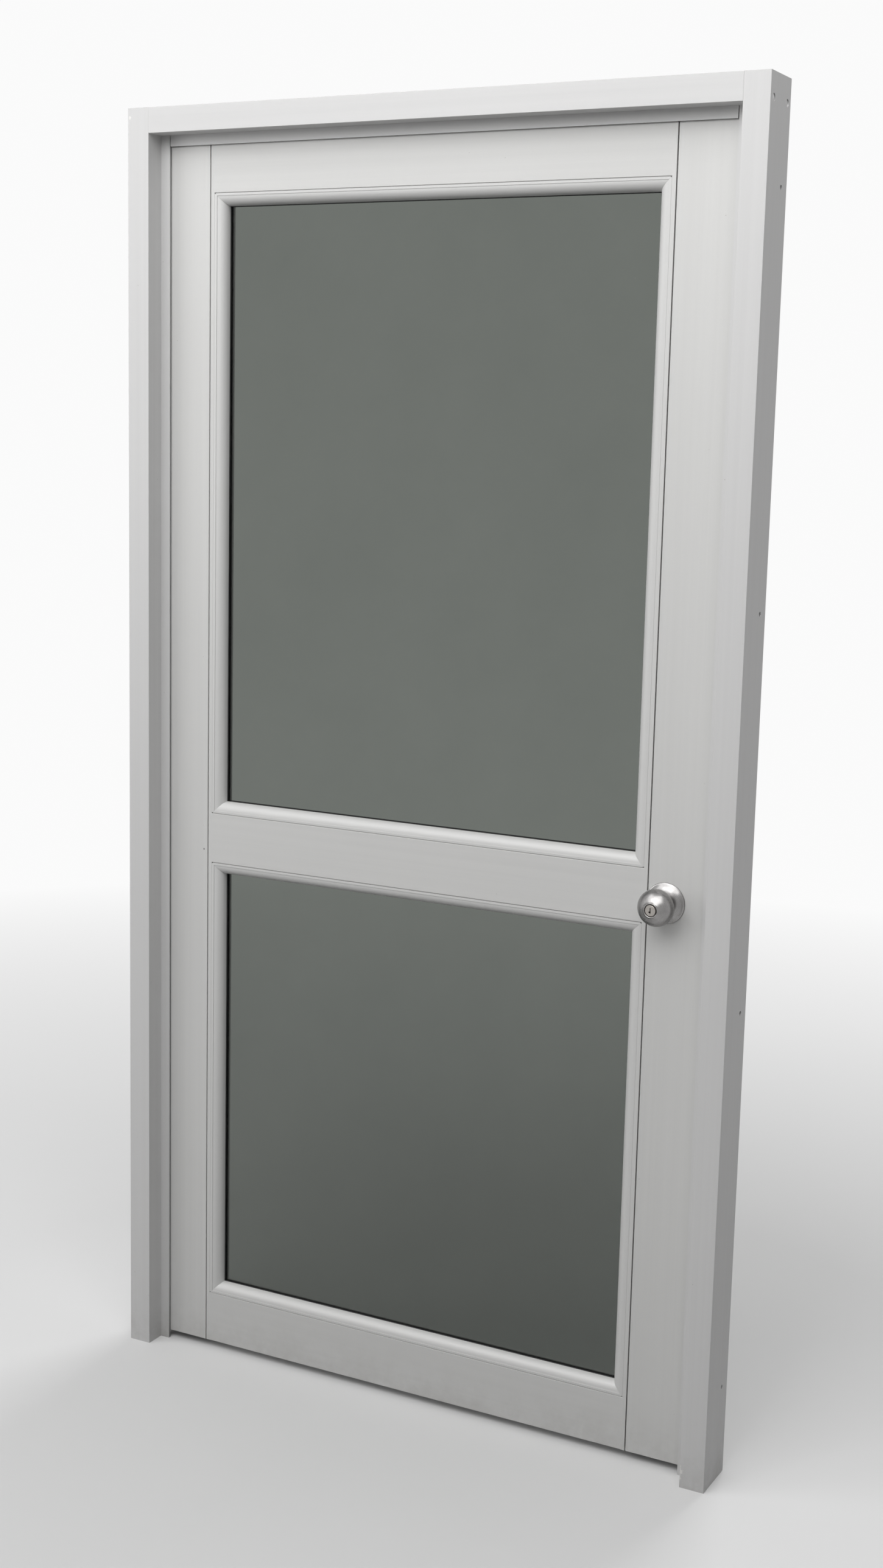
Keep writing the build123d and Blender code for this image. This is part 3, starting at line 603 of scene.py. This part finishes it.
def lathe(name, outline, out, face_y, body, replaced):
    """Spins an outline of (reach from the leaf's face, radius) in mm about the knob axis."""
    mesh = bmesh.new()
    line = []
    for reach, ring_radius in outline:
        y = face_y + out * reach * MM
        line.append(mesh.verts.new((knob_axis.x, y, knob_axis.z + ring_radius * MM)))
    edges = [mesh.edges.new(pair) for pair in zip(line, line[1:])]
    bmesh.ops.spin(
        mesh,
        geom=line + edges,
        cent=(knob_axis.x, face_y, knob_axis.z),
        axis=(0.0, 1.0, 0.0),
        angle=math.tau,
        steps=LATHE_STEPS,
        use_merge=True,
    )
    bmesh.ops.remove_doubles(mesh, verts=mesh.verts, dist=SAME_PLACE)
    bmesh.ops.recalc_face_normals(mesh, faces=mesh.faces)
    for face in mesh.faces:
        face.smooth = True
    piece = make_object(name, mesh, knob_steel)
    soften = piece.modifiers.new("round", "SUBSURF")
    soften.levels = SMOOTH_LEVELS
    soften.render_levels = SMOOTH_LEVELS
    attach(piece, body)
    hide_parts(replaced)
    print(name, "has", len(piece.data.polygons), "faces before smoothing")


# %% [markdown]
# The rose is a pressed dome with a rolled rim that shines, open at the back and hollow.
# Its outline runs up the rim and over the dome to the hole for the neck, and back inside.

# %% rose outline
rose_radius = radius_mm("outer_rose")
rose_height = 9.0
rim_height = 2.2
neck_hole = 15.5

rose_outline = [
    (0.0, rose_radius - 1.4),
    (0.0, rose_radius - 0.1),
    (0.7, rose_radius),
    (1.6, rose_radius - 0.3),
    (rim_height, rose_radius - 1.1),
    (rim_height, rose_radius - 1.6),
    (3.6, 28.6),
    (5.9, 25.6),
    (7.8, 22.0),
    (rose_height - 0.2, 18.6),
    (rose_height, 16.6),
    (rose_height, neck_hole + 0.1),
    (rose_height - 0.2, neck_hole),
    (7.9, neck_hole),
    (7.8, neck_hole + 0.1),
    (7.8, 17.2),
    (5.2, 24.2),
    (2.6, 28.6),
    (0.2, rose_radius - 1.6),
    (0.0, rose_radius - 1.4),
]
print("rose outline:", len(rose_outline), "points, radius", rose_radius)

# %% [markdown]
# The knob has a straight neck, a cone that opens towards the ball, and a flattened front.
# Both knobs share that outline and the bore for the spindle. The outer knob's front has a
# bright chamfer and a recess round the key plug, and the inner knob's front has a small
# one for the turn button.

# %% knob outlines
knob_gap = 2.3
neck_radius = 15.0
spindle_bore = 6.05
spindle_reach = 22.3
plug_bore = radius_mm("key_plug") + 0.05
plug_ring = 9.5
button_bore = 4.05

spindle_outline = [
    (spindle_reach, 0.0),
    (spindle_reach, spindle_bore - 0.15),
    (spindle_reach - 0.1, spindle_bore),
    (knob_gap + 0.1, spindle_bore),
    (knob_gap, spindle_bore),
]
ball_outline = [
    (knob_gap, neck_radius - 0.2),
    (knob_gap + 0.2, neck_radius),
    (11.6, neck_radius),
    (12.4, neck_radius + 0.2),
    (14.5, 16.2),
    (28.5, 25.6),
    (31.5, 27.4),
    (37.0, 29.1),
    (43.0, 28.4),
    (49.0, 24.9),
    (54.5, 19.0),
    (58.4, 12.6),
    (60.3, 11.2),
]
outer_front = [
    (60.6, 10.8),
    (60.5, 10.4),
    (59.7, plug_ring + 0.1),
    (59.4, plug_ring),
    (56.7, plug_ring),
    (56.5, plug_ring - 0.1),
    (56.5, plug_bore + 0.15),
    (56.4, plug_bore),
    (38.8, plug_bore),
    (38.7, plug_bore - 0.15),
    (38.7, 0.0),
]
inner_front = [
    (60.4, 10.6),
    (60.0, 9.9),
    (59.6, 9.3),
    (59.5, 8.6),
    (59.5, button_bore + 0.25),
    (59.3, button_bore),
    (47.3, button_bore),
    (47.2, 0.0),
]
outer_outline = spindle_outline + ball_outline + outer_front
inner_outline = spindle_outline + ball_outline + inner_front
print("knob outlines:", len(outer_outline), "and", len(inner_outline), "points")

# %% [markdown]
# One outline serves both sides of the leaf. The outer pieces grow out from its front face
# and the inner ones from its back face, so only the sign of the reach changes. Mirroring
# the finished pieces would also do it, but it would turn their faces inside out.

# %% turn roses and knobs
lathe("outer_rose_dome", rose_outline, -1, leaf_low.y, "leaf", "outer_rose")
lathe("outer_knob_ball", outer_outline, -1, leaf_low.y, "knobs", "outer_knob")
lathe("inner_rose_dome", rose_outline, 1, leaf_high.y, "leaf", "inner_rose")
lathe("inner_knob_ball", inner_outline, 1, leaf_high.y, "knobs", "inner_knob")

# %% [markdown]
# The turn button is a small die-cast wing on a disc with a stem. The wing starts as a cube
# of its size with well rounded edges, and disc and stem are two cylinders with bevelled
# rims. The three are joined in one mesh, since they are one casting.


# %% turn button
stem_radius = 3.9
button_radius = 6.4
disc_reach = 59.8
disc_height = 2.0
wing_width = 3.8
wing_length = 12.0
wing_rounding = 1.4
stem_rounding = 0.3
disc_rounding = 0.5
stem_overlap = 0.5


def add_disc(mesh, disc_radius, y_from, y_to, rounding):
    """A cylinder round the knob axis, from one y to another. Radius and rounding are in mm."""
    middle = Vector((knob_axis.x, (y_from + y_to) / 2, knob_axis.z))
    made = bmesh.ops.create_cone(
        mesh,
        cap_ends=True,
        segments=LATHE_STEPS,
        radius1=disc_radius * MM,
        radius2=disc_radius * MM,
        depth=abs(y_to - y_from),
        matrix=Matrix.Translation(middle) @ Matrix.Rotation(math.pi / 2, 4, "X"),
    )
    edges = {edge for vert in made["verts"] for edge in vert.link_edges}
    rims = [edge for edge in edges if abs(edge.verts[0].co.y - edge.verts[1].co.y) < SAME_PLACE]
    bmesh.ops.bevel(
        mesh, geom=rims, offset=rounding * MM, segments=3, profile=0.5, affect="EDGES", material=-1
    )


button_low, button_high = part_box("turn_button")
disc_start = leaf_high.y + disc_reach * MM
mesh = bmesh.new()
add_disc(mesh, stem_radius, button_low.y, disc_start + stem_overlap * MM, stem_rounding)
add_disc(mesh, button_radius, disc_start, disc_start + disc_height * MM, disc_rounding)
wing_height = button_high.y - disc_start - disc_height / 2 * MM
wing_middle = Vector((knob_axis.x, button_high.y - wing_height / 2, knob_axis.z))
wing_size = Matrix.Diagonal((wing_width * MM, wing_height, wing_length * MM, 1.0))
wing = bmesh.ops.create_cube(mesh, size=1.0, matrix=Matrix.Translation(wing_middle) @ wing_size)
wing_edges = list({edge for vert in wing["verts"] for edge in vert.link_edges})
bmesh.ops.bevel(
    mesh,
    geom=wing_edges,
    offset=wing_rounding * MM,
    segments=5,
    profile=0.5,
    affect="EDGES",
    material=-1,
)
for face in mesh.faces:
    face.smooth = True
button = make_object("thumb_turn", mesh, knob_steel)
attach(button, "button")
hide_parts("turn_button")
print("thumb turn faces:", len(button.data.polygons))

# %% [markdown]
# The seals along the stops are soft tubes with a flat foot. A curve with a bevel would be
# quick, but it can't have the foot. So each starts as a circle of points, is squashed so
# that it just clears the closed leaf, has its foot pressed flat, and is drawn out along
# its stop.

# %% seals
TUBE_POINTS = 20
FOOT_SHARE = 0.3


def seal_tube(name, node, along):
    """A squashed rubber tube that fills the node's box and runs along one axis."""
    low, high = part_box(node)
    size = high - low
    across = size.x if along == "Z" else size.z
    span = size.z if along == "Z" else size.x
    mesh = bmesh.new()
    ring = bmesh.ops.create_circle(mesh, segments=TUBE_POINTS, radius=0.5)["verts"]
    bmesh.ops.scale(mesh, vec=(across, size.y, 1.0), verts=ring)
    for vert in ring:
        if vert.co.y < -size.y * FOOT_SHARE:
            vert.co.y = -size.y / 2
    section = mesh.faces.new(ring)
    grown = bmesh.ops.extrude_face_region(mesh, geom=[section])
    far_end = [part for part in grown["geom"] if isinstance(part, bmesh.types.BMVert)]
    bmesh.ops.translate(mesh, vec=(0.0, 0.0, span), verts=far_end)
    bmesh.ops.translate(mesh, vec=(0.0, 0.0, -span / 2), verts=mesh.verts)
    if along == "X":
        lie_down = Matrix.Rotation(math.pi / 2, 3, "Y")
        bmesh.ops.rotate(mesh, matrix=lie_down, verts=mesh.verts)
    bmesh.ops.translate(mesh, vec=box_middle(node), verts=mesh.verts)
    bmesh.ops.recalc_face_normals(mesh, faces=mesh.faces)
    for face in mesh.faces:
        face.smooth = len(face.verts) == 4
    piece = make_object(name, mesh, seal_rubber)
    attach(piece, "frame")
    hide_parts(node)
    print(name, "runs", round(span, 3), "m along", along)


seal_tube("left_stop_seal", "seal_left", "Z")
seal_tube("right_stop_seal", "seal_right", "Z")
seal_tube("head_stop_seal", "seal_head", "X")

# %% [markdown]
# The studio is a pale floor that fades into a pale surround. A real studio uses a sweep of
# paper for this. Here the world is the surround, and far from the door the floor takes on
# the world's own brightness, so that no edge shows between them from any side. What is
# seen, also in gloss and through glass, is kept apart from the light that it gives,
# because light that comes from all sides would leave the door flat.


# %% brightness of the studio surround
WHITE_BEHIND = 0.96
PALE_IN_FRONT = 0.62
BLEND_REACH = 0.35


def surround_level(tree, direction):
    """The surround's brightness in a direction: white behind the door, pale in front of it."""
    toward_back = split(tree, vector_calc(tree, "NORMALIZE", direction))["Y"]
    return remap(tree, toward_back, -BLEND_REACH, BLEND_REACH, PALE_IN_FRONT, WHITE_BEHIND)


def choose_seen(tree, given, seen):
    """Shows one shader to the camera, in gloss and through glass, and lights with the other."""
    rays = tree.nodes.new("ShaderNodeLightPath").outputs
    directly = calc(tree, "MAXIMUM", rays["Is Camera Ray"], rays["Is Glossy Ray"])
    directly = calc(tree, "MAXIMUM", directly, rays["Is Transmission Ray"])
    choice = tree.nodes.new("ShaderNodeMixShader")
    feed(tree, choice.inputs["Fac"], directly)
    feed(tree, choice.inputs[1], given)
    feed(tree, choice.inputs[2], seen)
    return choice.outputs["Shader"]


print("surround from", PALE_IN_FRONT, "in front to", WHITE_BEHIND, "behind")

# %% [markdown]
# The studio floor is one large disc. A flat colour would look like a hole under the door,
# so a slow noise mottles it a little. Near the door it is a matte surface that takes
# shadows, and with distance it turns into the surround's own glow.

# %% floor
FLOOR_RADIUS = 14.0
FADE_START = 1.0
FADE_END = 4.0
FLOOR_TONE = 0.74
FLOOR_BOUNCE = 0.2
MOTTLE_SCALE = 1.5

floor_material, floor_tree, floor_shader = start_material("pale floor")
floor_place = object_place(floor_tree)
slow_noise = noise(floor_tree, floor_place, MOTTLE_SCALE, detail=4.0)
mottle = remap(floor_tree, slow_noise, 0.3, 0.7, 0.985, 1.0)
floor_color = vector_calc(floor_tree, "SCALE", (FLOOR_TONE,) * 3, mottle)
feed(floor_tree, floor_shader.inputs["Base Color"], floor_color)
floor_shader.inputs["Roughness"].default_value = 0.9
floor_shader.inputs["Specular IOR Level"].default_value = 0.1
far_glow = floor_tree.nodes.new("ShaderNodeEmission")
feed(floor_tree, far_glow.inputs["Strength"], surround_level(floor_tree, floor_place))
from_door = vector_calc(floor_tree, "LENGTH", floor_place)
fade = floor_tree.nodes.new("ShaderNodeMixShader")
feed(floor_tree, fade.inputs["Fac"], remap(floor_tree, from_door, FADE_START, FADE_END, 0.0, 1.0))
feed(floor_tree, fade.inputs[1], floor_shader.outputs["BSDF"])
feed(floor_tree, fade.inputs[2], far_glow.outputs["Emission"])
bounce = floor_tree.nodes.new("ShaderNodeBsdfDiffuse")
bounce.inputs["Color"].default_value = grey(FLOOR_BOUNCE)
floor_look = choose_seen(floor_tree, bounce.outputs["BSDF"], fade.outputs["Shader"])
feed(floor_tree, floor_tree.nodes["Material Output"].inputs["Surface"], floor_look)

mesh = bmesh.new()
bmesh.ops.create_circle(mesh, cap_ends=True, segments=64, radius=FLOOR_RADIUS)
floor = make_object("studio_floor", mesh, floor_material)
print("floor radius:", round(floor.dimensions.x / 2, 2))

# %% [markdown]
# The world gives two things. What is seen of it is the pale surround, and what lights the
# door is a much weaker fill, which keeps the shadows soft without washing them out. An
# image of a real studio could do both at once, but then one couldn't be changed without
# the other.

# %% world
FILL_IN_FRONT = 0.05
FILL_BEHIND = 0.45

world = bpy.data.worlds.new("studio")
bpy.context.scene.world = world
world.use_nodes = True
sky = world.node_tree
sky_level = surround_level(sky, sky.nodes.new("ShaderNodeTexCoord").outputs["Generated"])
shown = sky.nodes["Background"]
shown.inputs["Color"].default_value = grey(1.0)
feed(sky, shown.inputs["Strength"], sky_level)
fill = sky.nodes.new("ShaderNodeBackground")
fill.inputs["Color"].default_value = grey(1.0)
fill_level = remap(sky, sky_level, PALE_IN_FRONT, WHITE_BEHIND, FILL_IN_FRONT, FILL_BEHIND)
feed(sky, fill.inputs["Strength"], fill_level)
sky_look = choose_seen(sky, fill.outputs["Background"], shown.outputs["Background"])
feed(sky, sky.nodes["World Output"].inputs["Surface"], sky_look)
print("world fill from", FILL_IN_FRONT, "to", FILL_BEHIND)

# %% [markdown]
# The light comes from high up in front, so that the head throws a soft shadow on the top
# of the leaf and the faces darken towards the bottom. One small lamp would throw a hard
# shadow, so three large square ones share the work. A fourth stands far to the left and
# low enough to brighten the left jamb, and a fifth lights the back of the door from
# higher up than the camera sees.


# %% lights
def square_lamp(name, place_at, aim, size, power):
    """A square lamp that points at a place."""
    light = bpy.data.lights.new(name, "AREA")
    light.size = size
    light.energy = power
    lamp = bpy.data.objects.new(name, light)
    lamp.location = place_at
    lamp.rotation_euler = (Vector(aim) - Vector(place_at)).to_track_quat("-Z", "Y").to_euler()
    bpy.context.scene.collection.objects.link(lamp)


UPPER_PANE = (0.0, 0.0, 1.8)
square_lamp("high_right_lamp", (1.2, -2.4, 4.2), UPPER_PANE, 3.0, 70.0)
square_lamp("high_front_lamp", (-0.4, -3.4, 3.6), UPPER_PANE, 2.6, 56.0)
square_lamp("high_left_lamp", (-1.6, -2.0, 4.2), UPPER_PANE, 2.6, 34.0)
square_lamp("left_lamp", (-4.0, -3.0, 2.2), (-0.3, 0.0, 1.6), 2.4, 50.0)
square_lamp("back_lamp", (0.3, 4.5, 4.6), (0.0, 0.0, 1.2), 2.6, 125.0)

# %% [markdown]
# The camera has the photograph's viewpoint: to the right of the door, about 1.6 m up,
# looking a little down and with the picture tilted slightly. A camera can be set by eye,
# but here its place and turn were worked out from the door's own straight edges.

# %% camera
CAMERA_PLACE = (1.5290, -2.8731, 1.6058)
CAMERA_TURN = math.radians(27.649)
CAMERA_DIP = math.radians(-9.768)
CAMERA_ROLL = math.radians(-1.351)

camera_data = bpy.data.cameras.new("photo_camera")
camera_data.sensor_width = 36.0
camera_data.lens = 47.43
camera = bpy.data.objects.new("photo_camera", camera_data)
turn = Matrix.Rotation(CAMERA_TURN, 4, "Z") @ Matrix.Rotation(CAMERA_DIP, 4, "X")
turn = turn @ Matrix.Rotation(CAMERA_ROLL, 4, "Y")
upright = Matrix.Rotation(math.pi / 2, 4, "X")
camera.matrix_world = Matrix.Translation(CAMERA_PLACE) @ turn @ upright
bpy.context.scene.collection.objects.link(camera)
bpy.context.scene.camera = camera
bpy.context.scene.view_settings.view_transform = "Standard"
print("camera at", CAMERA_PLACE)

# %% finish
bpy.context.view_layer.update()
